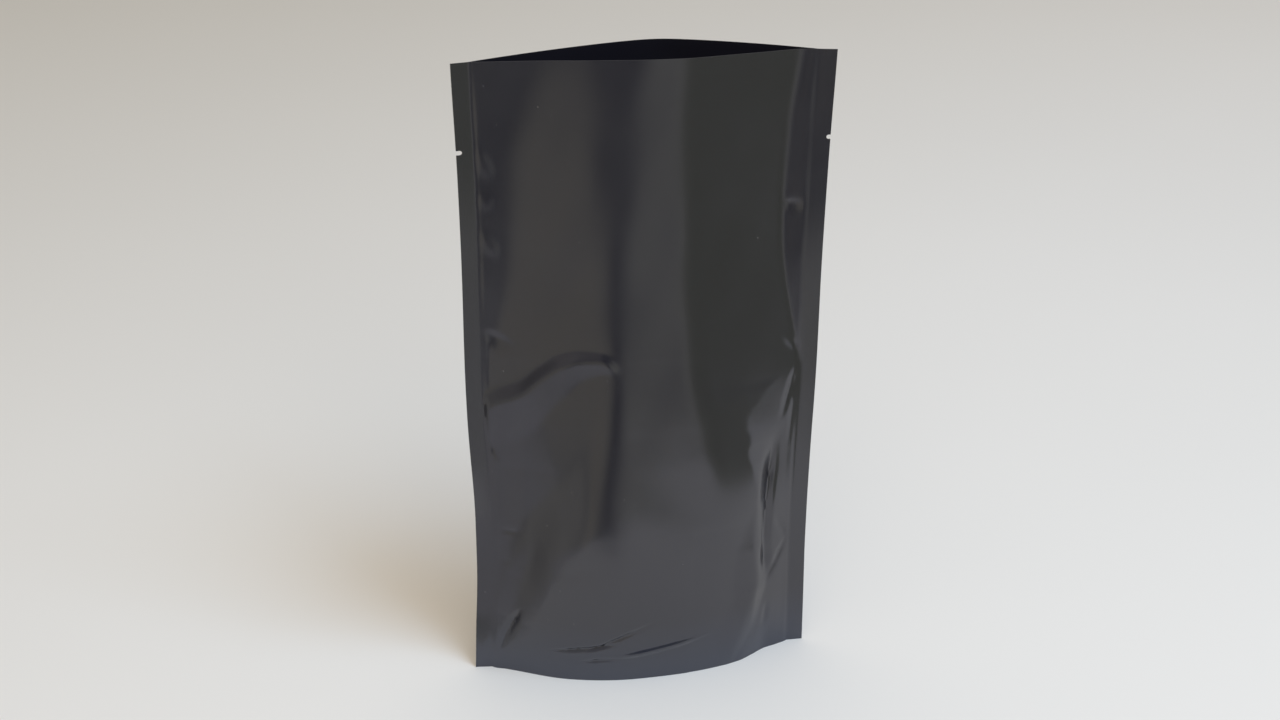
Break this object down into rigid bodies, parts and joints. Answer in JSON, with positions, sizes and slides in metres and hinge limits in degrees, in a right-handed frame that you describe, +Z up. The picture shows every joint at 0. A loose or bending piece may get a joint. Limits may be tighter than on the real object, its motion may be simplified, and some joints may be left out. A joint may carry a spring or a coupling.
{
  "type": "stand-up pouch",
  "caption": "Empty black film food pouch, standing open on its folded bottom gusset, with flat welded side seals, punched tear notches and a dented front panel.",
  "frame": {"origin": "on the floor, under the middle of the bounding box", "axes": "+Z up from the floor to the mouth, -Y out of the dented front panel, +X to the right as seen from the front"},
  "size_m": [0.1262, 0.041, 0.2295],
  "materials": {
    "black_film": "satin black laminated film"
  },
  "bodies": {
    "root": {"pouch": "black_film"}
  },
  "joints": []
}
